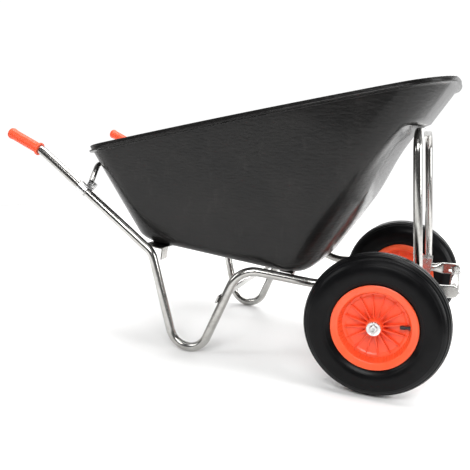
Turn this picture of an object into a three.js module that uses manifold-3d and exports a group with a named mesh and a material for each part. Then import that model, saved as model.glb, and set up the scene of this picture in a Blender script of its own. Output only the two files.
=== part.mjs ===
// Twin-wheel yard wheelbarrow: a moulded tray on a galvanised tube frame, with two
// pneumatic wheels on a fixed axle. Millimetres, +Z up, nose towards +X, right hand
// side towards -Y. Everything is laid out with the axle above x = 0 and the ground at
// z = 0, then the whole barrow is slid along X so that its length is centred on x = 0.
import * as THREE from "three";
import { mergeVertices } from "three/addons/utils/BufferGeometryUtils.js";
import Module from "manifold-3d";

const wasm = await Module();
wasm.setup();

// ---------------------------------------------------------------- driving dimensions

const gap = 0.3;
const shiftX = 510.16;

// Wheels: 4.00-8 pneumatic tyres on one-piece moulded rims
const tyreRadius = 200;
const tyreHalfWidth = 50;
const wheelY = 338;
const rimFlangeRadius = 118;
const rimHalfWidth = 42;
const dishRadius = 90;
const hubRadius = 23;
const hubBore = 13.3;
const ribCount = 16;
const wheelSides = 28;

// Axle
const axleRadius = 10;
const axleHalfLength = 391;
const axleZ = tyreRadius;
const bushBore = 10.35;

// Frame tubes
const frameTube = 14;
const hoopTube = 12.5;
const braceTube = 8.5;
const tubeWall = 2;

// The right frame tube from handle end to nose: corner points and bend radii
const handleEnd = [-1216, -311, 629.5, 0];
const noseEnd = [128, -172, 276.6, 0];
const frameCorners = [
  handleEnd,
  [-1098, -311, 581.5, 80],
  [-706, -300, 301, 60],
  [-622, -290, frameTube, 64],
  [-529, -290, frameTube, 64],
  [-424, -281, 287, 75],
  [-213, -201, 254, 100],
  noseEnd,
];
const handleRun = 1;
const frontRun = 6;

// Front hoop that carries the nose of the tray
const hoopHalfWidth = 242;
const hoopTop = [40.5, 719];
const hoopFoot = [98.5, 252];

// Tray: outlines at the floor and at the rim, and how thick the moulding is
const floorOutline = { rear: -796, front: -240, half: 245, rearCorner: 80, frontCorner: 80, bulge: 12 };
const rimOutline = { rear: -941, front: 106, half: 343, rearCorner: 80, frontCorner: 130, bulge: 22 };
const floorLevel = { x: -300, z: 281, fall: 0.085 };
const rimCurve = { x: -945, z: 606, length: 1075, rise: 284, sag: 20 };
const trayWall = 5;
const floorFillet = 36;
const lipReach = 11;
const lipDrop = 17;
const lipThickness = 5;
const lipBead = 1.5;
const trayDepth = 420;
const trayBolts = { rear: [-716, -150], front: [-296, -150] };
const trayBoltRecess = { radius: 10.4, depth: 2 };
const hoopBoltPlace = [92.7, -hoopHalfWidth, 298.5];

// Plates that hang the axle, braces and straps
const hangerOffsets = [-28, 28];
const hanger = { halfLength: 44, above: 10, below: 14, eye: 24, sheet: 6 };
const angleThickness = 4;
const crossAngles = {
  rear: { rearX: -748, frontX: -682, halfLength: 275, drop: 38, flangeLength: 40 },
  front: { rearX: -318, frontX: -276, halfLength: 209, drop: 10, flangeLength: 30 },
};
const legStrap = { z: 178, halfLength: 300, width: 24, thickness: 5 };
const cradle = { rear: 74, front: 108, inner: -152, outer: -229.2, base: 255, top: 307, sheet: 4 };
const noseBar = { x: 188, z: 278, halfLength: 159.2, boltY: -140 };
const braceCorner = [-925, -266, 553, 30];

// Split clamp on a handle
const clamp = { x: -950, radius: 18.5, length: 30, slot: 3, lugSheet: 5, lugTop: 40, boltAt: [30, 18] };

// Fasteners
const boltRadius = 4;
const boltHole = 4.3;
const headHeight = 5.3;
const nutHeight = 6.5;
const nutRadius = 7.5;
const threadEnd = 2;
const drillReach = 30;
const splitPinY = -(axleHalfLength - 3.8);
const splitPinRadius = 1.6;

// Valve, lying along a radius of the wheel
const valveAngle = THREE.MathUtils.degToRad(6);
const valveY = 16;

// ------------------------------------------------------------------------- materials

function material(colour, roughness, metalness) {
  return new THREE.MeshStandardMaterial({ color: colour, roughness, metalness });
}

const blackPlastic = () => material(0x2e2e2f, 0.55, 0);
const galvanised = () => material(0xb9bcbd, 0.3, 1);
const zincPlate = () => material(0xd9dcde, 0.25, 1);
const orangePlastic = () => material(0xee4f2a, 0.4, 0);
const tyreRubber = () => material(0x17171a, 0.5, 0);
const tubeRubber = () => material(0x202022, 0.7, 0);

// --------------------------------------------------------------------------- helpers

const barrow = new THREE.Group();
barrow.position.x = shiftX;

function addPiece(name, geometry, pieceMaterial) {
  const mesh = new THREE.Mesh(outward(geometry), pieceMaterial);
  mesh.name = name;
  barrow.add(mesh);
}

// Adds a piece built on the right hand side and its mirror image on the left
function addPair(name, geometry, makeMaterial) {
  addPiece(`${name}_right`, geometry, makeMaterial());
  addPiece(`${name}_left`, mirroredInY(geometry), makeMaterial());
}

function bareGeometry(geometry) {
  const bare = geometry.clone();
  bare.deleteAttribute("normal");
  bare.deleteAttribute("uv");
  return mergeVertices(bare, 1e-3);
}

function reverseFaces(geometry) {
  const index = geometry.index;
  for (let i = 0; i < index.count; i += 3) {
    const first = index.getX(i);
    index.setX(i, index.getX(i + 2));
    index.setX(i + 2, first);
  }
  return geometry;
}

function signedVolume(geometry) {
  const position = geometry.attributes.position;
  const corners = [new THREE.Vector3(), new THREE.Vector3(), new THREE.Vector3()];
  let volume = 0;
  for (let i = 0; i < geometry.index.count; i += 3) {
    corners.forEach((corner, k) => corner.fromBufferAttribute(position, geometry.index.getX(i + k)));
    volume += corners[0].dot(corners[1].clone().cross(corners[2])) / 6;
  }
  return volume;
}

function outward(geometry) {
  const bare = bareGeometry(geometry);
  return signedVolume(bare) < 0 ? reverseFaces(bare) : bare;
}

function mirroredInY(geometry) {
  return outward(geometry.clone().scale(1, -1, 1));
}

function solidOf(geometry) {
  const closed = outward(geometry);
  const vertProperties = new Float32Array(closed.attributes.position.array);
  const triVerts = new Uint32Array(closed.index.array);
  return new wasm.Manifold(new wasm.Mesh({ numProp: 3, vertProperties, triVerts }));
}

function geometryOf(solid) {
  const mesh = solid.getMesh();
  const geometry = new THREE.BufferGeometry();
  geometry.setAttribute("position", new THREE.BufferAttribute(mesh.vertProperties, 3));
  geometry.setIndex(new THREE.BufferAttribute(mesh.triVerts, 1));
  return geometry;
}

function joined(...geometries) {
  return geometryOf(geometries.map(solidOf).reduce((whole, piece) => whole.add(piece)));
}

function cut(geometry, ...tools) {
  return geometryOf(tools.map(solidOf).reduce((rest, tool) => rest.subtract(tool), solidOf(geometry)));
}

function circlePoints(radius, sides) {
  return Array.from({ length: sides }, (_, i) => {
    const angle = (2 * Math.PI * i) / sides;
    return new THREE.Vector2(radius * Math.cos(angle), radius * Math.sin(angle));
  });
}

// Turns a shape built along +Z so that it runs along a direction from a point
function placed(geometry, from, direction) {
  const turn = new THREE.Quaternion();
  turn.setFromUnitVectors(new THREE.Vector3(0, 0, 1), new THREE.Vector3(...direction).normalize());
  return geometry.applyQuaternion(turn).translate(...from);
}

// A round bar from a point along a direction
function bar(radius, length, from, direction, sides = 12) {
  const cylinder = new THREE.CylinderGeometry(radius, radius, length, sides);
  cylinder.rotateX(Math.PI / 2).translate(0, 0, length / 2);
  return placed(cylinder, from, direction);
}

function block(sizeX, sizeY, sizeZ, centre) {
  return new THREE.BoxGeometry(sizeX, sizeY, sizeZ).translate(...centre);
}

// A shape turned round the wheel axis: points are [radius, y], y growing outboard
function turned(profile, sides = wheelSides) {
  const points = profile.map(([radius, y]) => new THREE.Vector2(radius, -y));
  points.push(points[0].clone());
  return new THREE.LatheGeometry(points, sides);
}

// Moves a wheel-axis shape from the origin to the right hand wheel
function ontoRightWheel(geometry) {
  return geometry.translate(0, -wheelY, axleZ);
}

// A path that passes through given points, with one section of a sweep at each of them
class PointPath extends THREE.Curve {
  constructor(points) {
    super();
    this.points = points;
  }

  getPoint(t, target = new THREE.Vector3()) {
    const place = t * (this.points.length - 1);
    const before = Math.min(Math.floor(place + 1e-9), this.points.length - 2);
    return target.lerpVectors(this.points[before], this.points[before + 1], place - before);
  }

  getPointAt(u, target) {
    return this.getPoint(u, target);
  }

  getTangentAt(u, target = new THREE.Vector3()) {
    const last = this.points.length - 1;
    const here = Math.round(u * last);
    const from = this.points[Math.max(here - 1, 0)];
    const middle = this.points[here];
    const to = this.points[Math.min(here + 1, last)];
    const arriving = middle.clone().sub(from).normalize();
    const leaving = to.clone().sub(middle).normalize();
    return target.addVectors(arriving, leaving).normalize();
  }
}

// Points of a polyline whose corners are rounded: each corner is [x, y, z, bendRadius]
function bentPath(corners, stepDegrees) {
  const at = corners.map(([x, y, z]) => new THREE.Vector3(x, y, z));
  const points = [at[0]];
  for (let i = 1; i < at.length - 1; i += 1) {
    const back = at[i - 1].clone().sub(at[i]).normalize();
    const ahead = at[i + 1].clone().sub(at[i]).normalize();
    const inner = back.angleTo(ahead);
    const radius = corners[i][3];
    const setback = radius / Math.tan(inner / 2);
    const bisector = back.clone().add(ahead).normalize();
    const centre = at[i].clone().addScaledVector(bisector, radius / Math.sin(inner / 2));
    const start = at[i].clone().addScaledVector(back, setback).sub(centre);
    const end = at[i].clone().addScaledVector(ahead, setback).sub(centre);
    const sweep = Math.PI - inner;
    const steps = Math.max(1, Math.round(THREE.MathUtils.radToDeg(sweep) / stepDegrees));
    for (let k = 0; k <= steps; k += 1) {
      const share = k / steps;
      const arm = start.clone().multiplyScalar(Math.sin((1 - share) * sweep) / Math.sin(sweep));
      arm.addScaledVector(end, Math.sin(share * sweep) / Math.sin(sweep));
      points.push(centre.clone().add(arm));
    }
  }
  points.push(at[at.length - 1]);
  return points;
}

// A hollow tube bent round corners, open at both ends
function bentTube(corners, radius, sides = 10, stepDegrees = 21) {
  const section = new THREE.Shape(circlePoints(radius, sides));
  section.holes.push(new THREE.Path(circlePoints(radius - tubeWall, sides).reverse()));
  const path = bentPath(corners, stepDegrees);
  return new THREE.ExtrudeGeometry(section, {
    steps: path.length - 1,
    extrudePath: new PointPath(path),
    bevelEnabled: false,
  });
}

// A closed skin over rings of points that all have the same count
function skinned(rings) {
  const count = rings[0].length;
  const vertices = rings.flat().flatMap((point) => [point.x, point.y, point.z]);
  const faces = [];
  for (let r = 0; r < rings.length - 1; r += 1) {
    for (let i = 0; i < count; i += 1) {
      const here = r * count + i;
      const next = r * count + ((i + 1) % count);
      faces.push(here, next, here + count, next, next + count, here + count);
    }
  }
  [0, rings.length - 1].forEach((r) => {
    const middle = rings[r].reduce((sum, point) => sum.add(point), new THREE.Vector3());
    middle.divideScalar(count);
    const hub = vertices.length / 3;
    vertices.push(middle.x, middle.y, middle.z);
    for (let i = 0; i < count; i += 1) {
      const here = r * count + i;
      const next = r * count + ((i + 1) % count);
      faces.push(...(r === 0 ? [hub, next, here] : [hub, here, next]));
    }
  });
  const geometry = new THREE.BufferGeometry();
  geometry.setAttribute("position", new THREE.BufferAttribute(new Float32Array(vertices), 3));
  geometry.setIndex(faces);
  return geometry;
}

// ------------------------------------------------------------------------------ tray

// Height of the tray floor: it falls gently towards the nose
function floorZ(x) {
  return floorLevel.z + (floorLevel.x - x) * floorLevel.fall;
}

// Height of the rim: a shallow curve that rises towards the nose and flattens there
function rimZ(x) {
  const share = (x - rimCurve.x) / rimCurve.length;
  return rimCurve.z + rimCurve.rise * share - rimCurve.sag * share * share;
}

// A rounded rectangle seen from above, drawn in by an inset, with its nose bowed out
function outlinePoints(outline, inset, cornerSteps = 4, noseSteps = 6) {
  const rear = outline.rear + inset;
  const front = outline.front - inset;
  const half = outline.half - inset;
  const rearCorner = outline.rearCorner - inset;
  const frontCorner = outline.frontCorner - inset;
  const points = [];
  const arc = (x, y, radius, fromDegrees) => {
    for (let k = 0; k <= cornerSteps; k += 1) {
      const angle = THREE.MathUtils.degToRad(fromDegrees + (90 * k) / cornerSteps);
      points.push([x + radius * Math.cos(angle), y + radius * Math.sin(angle)]);
    }
  };
  const noseHalf = half - frontCorner;
  arc(front - frontCorner, -noseHalf, frontCorner, -90);
  for (let k = 1; k < noseSteps; k += 1) points.push([front, noseHalf * ((2 * k) / noseSteps - 1)]);
  arc(front - frontCorner, noseHalf, frontCorner, 0);
  arc(rear + rearCorner, half - rearCorner, rearCorner, 90);
  arc(rear + rearCorner, -(half - rearCorner), rearCorner, 180);
  const middle = (rear + front) / 2;
  return points.map(([x, y]) => {
    const nearness = Math.max(0, (x - middle) / (front - middle));
    return [x + outline.bulge * nearness ** 2 * (1 - (y / half) ** 2), y];
  });
}

// One level of the tray: share runs from 0 at the floor to 1 at the rim, drop slides
// the ring down the wall by a height, and lift raises it straight up
function trayRing(share, inset, { drop = 0, lift = 0 } = {}) {
  const low = outlinePoints(floorOutline, inset);
  const high = outlinePoints(rimOutline, inset);
  return low.map(([x, y], i) => {
    const from = new THREE.Vector3(x, y, floorZ(x));
    const to = new THREE.Vector3(high[i][0], high[i][1], rimZ(high[i][0]));
    const point = from.clone().lerp(to, share - drop / (to.z - from.z));
    point.z += lift;
    return point;
  });
}

// The rounded edge between floor and wall, as rings from the floor upwards
function filletRings(radius, inset, lift) {
  const rings = [];
  for (let k = 0; k <= 4; k += 1) {
    const angle = (Math.PI / 8) * k;
    const share = (radius * (1 - Math.cos(angle))) / trayDepth;
    rings.push(trayRing(share, inset + radius * (1 - Math.sin(angle)), { lift }));
  }
  return rings;
}

function trayOuter() {
  const rings = filletRings(floorFillet, 0, 0);
  [0.4, 0.7].forEach((share) => rings.push(trayRing(share, 0)));
  rings.push(trayRing(1, 0, { drop: lipDrop + 4 }));
  rings.push(trayRing(1, -lipReach, { drop: lipDrop }));
  rings.push(trayRing(1, -lipReach, { drop: lipDrop - lipThickness }));
  rings.push(trayRing(1, -lipBead, { drop: lipDrop - lipThickness - 1 }));
  rings.push(trayRing(1, -lipBead));
  return skinned(rings);
}

function trayInner() {
  const rings = filletRings(floorFillet - trayWall, trayWall, trayWall);
  [0.4, 0.7, 1].forEach((share) => rings.push(trayRing(share, trayWall)));
  rings.push(trayRing(1, trayWall, { lift: 30 }));
  return skinned(rings);
}

// The channel across the front wall in which the top of the hoop lies
function hoopChannel(extra) {
  const [x, z] = hoopTop;
  const shape = new THREE.Shape();
  shape.moveTo(x + 70, z - 60 - extra);
  shape.lineTo(x - 34 - extra, z - 44 - extra);
  shape.lineTo(x - 24 - extra, z - 16);
  shape.absarc(x - 4, z - 2, 20.5 + extra, Math.PI * 1.1, Math.PI / 2, true);
  shape.lineTo(x + 70, z + 18.5 + extra);
  const length = 2 * (hoopHalfWidth + 68 + extra);
  const channel = new THREE.ExtrudeGeometry(shape, { depth: length, bevelEnabled: false, curveSegments: 5 });
  return channel.rotateX(Math.PI / 2).translate(0, length / 2, 0);
}

function trayBoltHole(x, y) {
  return bar(boltHole, 2 * drillReach, [x, y, floorZ(x) - drillReach], [0, 0, 1], 10);
}

// Shallow level seat in the sloping floor for the head of a bolt
function traySeat(x, y) {
  const z = floorZ(x) + trayWall - trayBoltRecess.depth;
  return bar(trayBoltRecess.radius, drillReach, [x, y, z], [0, 0, 1], 16);
}

function buildTray() {
  const outer = solidOf(trayOuter());
  const hollow = solidOf(trayInner()).subtract(solidOf(hoopChannel(trayWall)));
  let tray = outer.subtract(hollow).subtract(solidOf(hoopChannel(0)));
  Object.values(trayBolts).forEach(([x, y]) => {
    [y, -y].forEach((side) => {
      tray = tray.subtract(solidOf(trayBoltHole(x, side)));
      tray = tray.subtract(solidOf(traySeat(x, side)));
    });
  });
  addPiece("tray", geometryOf(tray), blackPlastic());
}

// ----------------------------------------------------------------------------- frame

// Centre of a straight run of the right frame tube at a given x; a run is named by the
// corner that it starts from
function runPoint(run, x) {
  const from = new THREE.Vector3(...frameCorners[run]);
  const to = new THREE.Vector3(...frameCorners[run + 1]);
  return from.lerp(to, (x - from.x) / (to.x - from.x)).toArray();
}

function directionOf(run) {
  const from = new THREE.Vector3(...frameCorners[run]);
  return new THREE.Vector3(...frameCorners[run + 1]).sub(from).normalize();
}

const frontDirection = directionOf(frontRun);
const frontYaw = Math.atan2(frontDirection.y, frontDirection.x);
const acrossFront = new THREE.Vector3(-Math.sin(frontYaw), Math.cos(frontYaw), 0);

// The front end of a frame tube, pressed flat and tall with a rounded tip. A station is
// [distance along the tube, half height, half thickness].
function flattenedEnd() {
  const sides = 14;
  const stations = [
    [-3, 13.6, 13.6], [4, 14.6, 12.4], [14, 17.4, 8], [22, 18.6, 5.2], [58, 18.6, 5.2],
    [66, 16.6, 5.2], [71, 12.6, 5.2], [73.5, 7, 5.2],
  ];
  const ring = ([along, halfHeight, halfThickness]) => Array.from({ length: sides }, (_, i) => {
    const angle = (2 * Math.PI * (i + 0.5)) / sides;
    const rise = halfThickness * Math.sin(angle);
    const z = rise + Math.sign(rise) * (halfHeight - halfThickness);
    return new THREE.Vector3(along, halfThickness * Math.cos(angle), z);
  });
  const end = skinned(stations.map(ring));
  end.rotateY(-Math.asin(frontDirection.z)).rotateZ(frontYaw);
  return end.translate(...noseEnd.slice(0, 3));
}

// Hole from side to side through the straight front run at a given x
function crossHole(x) {
  const from = new THREE.Vector3(...runPoint(frontRun, x)).addScaledVector(acrossFront, -drillReach);
  return bar(boltHole, 2 * drillReach, from.toArray(), acrossFront.toArray(), 10);
}

function buildFrameTubes() {
  let tube = solidOf(bentTube(frameCorners, frameTube, 10)).add(solidOf(flattenedEnd()));
  hangerOffsets.forEach((offset) => {
    tube = tube.subtract(solidOf(crossHole(offset)));
  });
  addPair("frame_tube", geometryOf(tube), galvanised);
}

function buildNoseBar() {
  const { x, z, halfLength, boltY } = noseBar;
  const ring = new THREE.Shape(circlePoints(frameTube, 14));
  ring.holes.push(new THREE.Path(circlePoints(frameTube - tubeWall, 14).reverse()));
  const tube = new THREE.ExtrudeGeometry(ring, { depth: 2 * halfLength, bevelEnabled: false });
  tube.translate(0, 0, -halfLength).rotateX(Math.PI / 2).translate(x, 0, z);
  const drill = (y) => bar(boltHole, 2 * drillReach, [x - drillReach, y, z], [1, 0, 0], 10);
  addPiece("nose_bar", cut(tube, drill(boltY), drill(-boltY)), galvanised());
  const bolt = hexBolt(2 * frameTube + 4 * threadEnd);
  addPair("nose_bolt", placed(bolt, [x + frameTube + gap, boltY, z], [1, 0, 0]), zincPlate);
}

// ------------------------------------------------------------------------- fasteners

// Bolts point down: the head sits on z = 0 and the shank hangs below it
function hexBolt(length) {
  const head = bar(nutRadius, headHeight, [0, 0, 0], [0, 0, 1], 6);
  const shank = bar(boltRadius, length + 1, [0, 0, -length], [0, 0, 1], 10);
  return joined(head, shank);
}

function domeBolt(length) {
  const profile = [
    [0, -length], [boltRadius, -length], [boltRadius, 0], [9, 0], [8.2, 2], [5.8, 3.9], [0, 4.6],
  ].map(([radius, z]) => new THREE.Vector2(radius, z));
  return new THREE.LatheGeometry(profile, 8).rotateX(Math.PI / 2);
}

function nut() {
  const shape = new THREE.Shape(circlePoints(nutRadius, 6));
  shape.holes.push(new THREE.Path(circlePoints(boltHole, 10).reverse()));
  return new THREE.ExtrudeGeometry(shape, { depth: nutHeight, bevelEnabled: false });
}

// --------------------------------------------------------------------- tray supports

// Flat irons across the frame, one between the legs under the rear of the tray and one
// on the tubes under its front: the tray stands on them, and at each end their front
// edge is turned down into a short flange
function buildCrossAngles() {
  const slope = Math.atan(floorLevel.fall);
  Object.entries(crossAngles).forEach(([end, { rearX, frontX, halfLength, drop, flangeLength }]) => {
    const width = (frontX - rearX) / Math.cos(slope);
    const shape = new THREE.Shape();
    shape.moveTo(0, 0);
    shape.lineTo(width, 0);
    shape.lineTo(width, -drop);
    shape.lineTo(width - angleThickness, -drop);
    shape.lineTo(width - angleThickness, -angleThickness);
    shape.lineTo(0, -angleThickness);
    const full = new THREE.ExtrudeGeometry(shape, { depth: 2 * halfLength, bevelEnabled: false });
    full.rotateX(Math.PI / 2).translate(0, halfLength, 0);
    const notchHeight = 2 * (drop - angleThickness);
    const notchZ = -angleThickness - notchHeight / 2;
    const notch = block(2 * width, 2 * (halfLength - flangeLength), notchHeight, [width, 0, notchZ]);
    const angle = cut(full, notch).rotateY(slope).translate(rearX, 0, floorZ(rearX) - gap);
    const [x, y] = trayBolts[end];
    const holes = [y, -y].map((side) => trayBoltHole(x, side));
    addPiece(`${end}_cross_angle`, cut(angle, ...holes), galvanised());
  });
}

// Flat bar behind the front rises of both legs
function buildLegStrap() {
  const [lowX, , lowZ] = frameCorners[4];
  const [highX, , highZ] = frameCorners[5];
  const rise = new THREE.Vector3(highX - lowX, 0, highZ - lowZ).normalize();
  const { z, halfLength, width, thickness } = legStrap;
  const share = (z - lowZ) / (highZ - lowZ);
  const offset = frameTube + gap + thickness / 2;
  const strap = new THREE.BoxGeometry(thickness, 2 * halfLength, width);
  strap.rotateY(Math.atan2(rise.x, rise.z));
  strap.translate(lowX + (highX - lowX) * share - offset * rise.z, 0, z + offset * rise.x);
  addPiece("leg_strap", strap, galvanised());
}

function buildTrayBolts() {
  const slopeGap = 1.4;
  Object.entries(trayBolts).forEach(([end, [x, y]]) => {
    const seat = floorZ(x) + trayWall - trayBoltRecess.depth + gap;
    const underside = floorZ(x) - angleThickness - slopeGap;
    const length = seat - underside + nutHeight + threadEnd;
    addPair(`tray_bolt_${end}`, domeBolt(length).translate(x, y, seat), zincPlate);
    addPair(`tray_nut_${end}`, nut().translate(x, y, underside - nutHeight), zincPlate);
  });
}

// ------------------------------------------------------------------------ front hoop

function buildHoop() {
  const [topX, topZ] = hoopTop;
  const [footX, footZ] = hoopFoot;
  const bend = 60;
  const corners = [
    [footX, -hoopHalfWidth, footZ, 0],
    [topX, -hoopHalfWidth, topZ, bend],
    [topX, hoopHalfWidth, topZ, bend],
    [footX, hoopHalfWidth, footZ, 0],
  ];
  const [x, y, z] = hoopBoltPlace;
  const drill = (side) => bar(boltHole, 2 * drillReach, [x, side - drillReach, z], [0, 1, 0], 10);
  addPiece("front_hoop", cut(bentTube(corners, hoopTube, 12), drill(y), drill(-y)), galvanised());
}

// Pressed channel that cradles a frame tube and reaches out to the foot of the hoop
function buildHoopCradles() {
  const { rear, front, inner, outer, base, top, sheet } = cradle;
  const shape = new THREE.Shape();
  shape.moveTo(outer, top - 3);
  shape.lineTo(outer, base);
  shape.lineTo(inner, base);
  shape.lineTo(inner, top);
  shape.lineTo(inner - sheet, top);
  shape.lineTo(inner - sheet, base + sheet);
  shape.lineTo(outer + sheet, base + sheet);
  shape.lineTo(outer + sheet, top - 3);
  const channel = new THREE.ExtrudeGeometry(shape, { depth: front - rear, bevelEnabled: false });
  channel.rotateX(Math.PI / 2).rotateZ(Math.PI / 2).translate(rear, 0, 0);
  const [x, , z] = hoopBoltPlace;
  const width = inner - outer;
  const hole = bar(boltHole, width + 2 * drillReach, [x, outer - drillReach, z], [0, 1, 0], 10);
  addPair("hoop_cradle", cut(channel, hole), zincPlate);
  const headSeat = inner + gap;
  const nutSeat = -hoopHalfWidth - hoopTube - gap;
  const length = headSeat - nutSeat + nutHeight + threadEnd;
  addPair("hoop_bolt", placed(hexBolt(length), [x, headSeat, z], [0, 1, 0]), zincPlate);
  addPair("hoop_nut", placed(nut(), [x, nutSeat, z], [0, -1, 0]), zincPlate);
}

// ------------------------------------------------------------------------ rear brace

// Split clamp on a handle: its axis, the way its lugs point and its place
const clampAlong = directionOf(handleRun);
const clampOut = new THREE.Vector3(-clampAlong.z, 0, clampAlong.x).normalize();
const clampPlace = new THREE.Vector3(...runPoint(handleRun, clamp.x));

// Moves a shape built round a clamp's own axes onto the right handle: X points out of
// the tube and Z along it
function ontoClamp(geometry) {
  const across = clampAlong.clone().cross(clampOut);
  const frame = new THREE.Matrix4().makeBasis(clampOut, across, clampAlong).setPosition(clampPlace);
  return geometry.applyMatrix4(frame);
}

function clampPoint(out, along) {
  return clampPlace.clone().addScaledVector(clampOut, out).addScaledVector(clampAlong, along);
}

function buildClamps() {
  const { radius, length, slot: slotWidth, lugSheet, lugTop, boltAt: [out, along] } = clamp;
  const ring = bar(radius, length, [0, 0, -length / 2], [0, 0, 1], 16);
  const lugs = block(24, slotWidth + 2 * lugSheet, 25, [lugTop - 12, 0, 15.5]);
  const bore = bar(frameTube + gap, 4 * drillReach, [0, 0, -2 * drillReach], [0, 0, 1], 16);
  const slot = block(lugTop, slotWidth, 4 * drillReach, [lugTop / 2 + 5, 0, 0]);
  const hole = bar(boltHole, 2 * drillReach, [out, -drillReach, along], [0, 1, 0], 10);
  addPair("brace_clamp", ontoClamp(cut(joined(ring, lugs), bore, slot, hole)), zincPlate);
  const lugFace = slotWidth / 2 + lugSheet + gap;
  const bolt = placed(hexBolt(2 * lugFace + nutHeight + threadEnd), [out, -lugFace, along], [0, -1, 0]);
  addPair("clamp_bolt", ontoClamp(bolt), zincPlate);
  addPair("clamp_nut", ontoClamp(placed(nut(), [out, lugFace, along], [0, 1, 0])), zincPlate);
}

// U-shaped brace from both handles to the rear wall of the tray
function buildBrace() {
  const foot = clampPoint(clamp.radius + 7, -8);
  const [x, y, z, bend] = braceCorner;
  const corners = [
    [foot.x, foot.y, foot.z, 0],
    braceCorner,
    [x, -y, z, bend],
    [foot.x, -foot.y, foot.z, 0],
  ];
  addPiece("rear_brace", bentTube(corners, braceTube), galvanised());
}

// ------------------------------------------------------------------- axle and hangers

function buildHangers() {
  const [, tubeY, tubeZ] = runPoint(frontRun, 0);
  const { halfLength, above, below, eye, sheet } = hanger;
  const drop = axleZ - tubeZ;
  const shape = new THREE.Shape();
  shape.moveTo(-halfLength, above);
  shape.lineTo(-halfLength, -below);
  shape.lineTo(-eye, drop);
  shape.absarc(0, drop, eye, Math.PI, 2 * Math.PI, false);
  shape.lineTo(halfLength, -below);
  shape.lineTo(halfLength, above);
  const plate = new THREE.ExtrudeGeometry(shape, { depth: sheet, bevelEnabled: false, curveSegments: 6 });
  plate.rotateX(Math.PI / 2).translate(0, -frameTube - gap, 0).rotateZ(frontYaw).translate(0, tubeY, tubeZ);
  const bore = bar(axleRadius + 2 * gap, 4 * drillReach, [0, tubeY - 2 * drillReach, axleZ], [0, 1, 0], 16);
  addPair("axle_hanger", cut(plate, bore, ...hangerOffsets.map(crossHole)), zincPlate);
  const outside = acrossFront.clone().negate();
  hangerOffsets.forEach((offset, i) => {
    const end = i === 0 ? "rear" : "front";
    const centre = new THREE.Vector3(...runPoint(frontRun, offset));
    const reach = frameTube + sheet + 2 * gap;
    const seat = centre.clone().addScaledVector(outside, reach);
    const length = reach + frameTube + nutHeight + threadEnd;
    addPair(`hanger_bolt_${end}`, placed(hexBolt(length), seat.toArray(), outside.toArray()), zincPlate);
    const nutSeat = centre.clone().addScaledVector(acrossFront, frameTube + gap);
    addPair(`hanger_nut_${end}`, placed(nut(), nutSeat.toArray(), acrossFront.toArray()), zincPlate);
  });
}

// Fixed axle with a welded collar inboard of each wheel
function buildAxle() {
  const collarFrom = wheelY - 51.5;
  const collarTo = wheelY - 44.8;
  const end = axleHalfLength;
  const half = [
    [collarFrom, axleRadius], [collarFrom, 16], [collarTo, 16], [collarTo, axleRadius],
    [end - 1.5, axleRadius], [end, axleRadius - 1.5],
  ];
  const right = half.map(([y, radius]) => new THREE.Vector2(radius, y));
  const left = half.map(([y, radius]) => new THREE.Vector2(radius, -y)).reverse();
  const profile = [new THREE.Vector2(0, -end), ...left, ...right, new THREE.Vector2(0, end)];
  const axle = new THREE.LatheGeometry(profile, 16).translate(0, 0, axleZ);
  const hole = (y) => bar(splitPinRadius + gap, 40, [0, y, axleZ - 20], [0, 0, 1], 8);
  addPiece("axle", cut(axle, hole(splitPinY), hole(-splitPinY)), zincPlate());
}

// ---------------------------------------------------------------------------- wheels

function mirroredProfile(points) {
  return points.map(([radius, y]) => [radius, -y]).reverse();
}

// Tyre carcass, open at the beads
function tyreShape() {
  const outer = [
    [102.5, 31], [119.5, 37], [142, 49], [165, tyreHalfWidth], [184, 44.5], [196.5, 26], [tyreRadius, 9],
  ];
  const inner = [[193, 9], [180, 37], [150, 43], [112, 26], [102.5, 22]];
  return turned([...outer, ...mirroredProfile(outer), ...mirroredProfile(inner), ...inner]);
}

function rimShape() {
  const half = [
    [hubBore, rimHalfWidth], [hubRadius - 1, rimHalfWidth], [hubRadius + 1, 4], [dishRadius - 2, 4],
    [97, 36], [rimFlangeRadius - 2, rimHalfWidth], [rimFlangeRadius, rimHalfWidth - 2],
    [rimFlangeRadius, 37.2], [101.8, 31.3], [100.5, 16],
  ];
  const rim = turned([...half, ...mirroredProfile(half)]);
  const ribs = Array.from({ length: ribCount }, (_, i) => {
    const angle = (2 * Math.PI * (i + 0.5)) / ribCount;
    const rib = block(dishRadius - hubRadius + 3, 7, 3, [(dishRadius + hubRadius) / 2, -6.5, 0]);
    return rib.rotateY(angle);
  });
  return cut(joined(rim, ...ribs), valveBar(4.6, 84, 110));
}

// A round bar along the radius on which the valve lies, between two radii
function valveBar(radius, fromRadius, toRadius) {
  const direction = [Math.cos(valveAngle), 0, Math.sin(valveAngle)];
  const from = [fromRadius * direction[0], -valveY, fromRadius * direction[2]];
  return bar(radius, toRadius - fromRadius, from, direction, 10);
}

// Inner tube: a thin ring of rubber that opens only through its valve stem
function innerTubeShape() {
  const corners = 6;
  const ring = (radius, halfHeight, halfWidth) => Array.from({ length: corners }, (_, i) => {
    const angle = (2 * Math.PI * (i + 0.5)) / corners;
    return [radius + halfHeight * Math.cos(angle), halfWidth * Math.sin(angle)];
  });
  const skin = turned(ring(146, 43, 38), 24);
  const air = turned(ring(146, 40, 35), 24);
  return cut(joined(skin, valveBar(4, 76, 108)), air, valveBar(1.4, 70, 112));
}

function bushProfile() {
  const flange = rimHalfWidth + gap;
  return [
    [bushBore, 22], [hubBore - gap, 22], [hubBore - gap, flange], [18, flange],
    [18, flange + 1.8], [bushBore, flange + 1.8],
  ];
}

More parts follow.
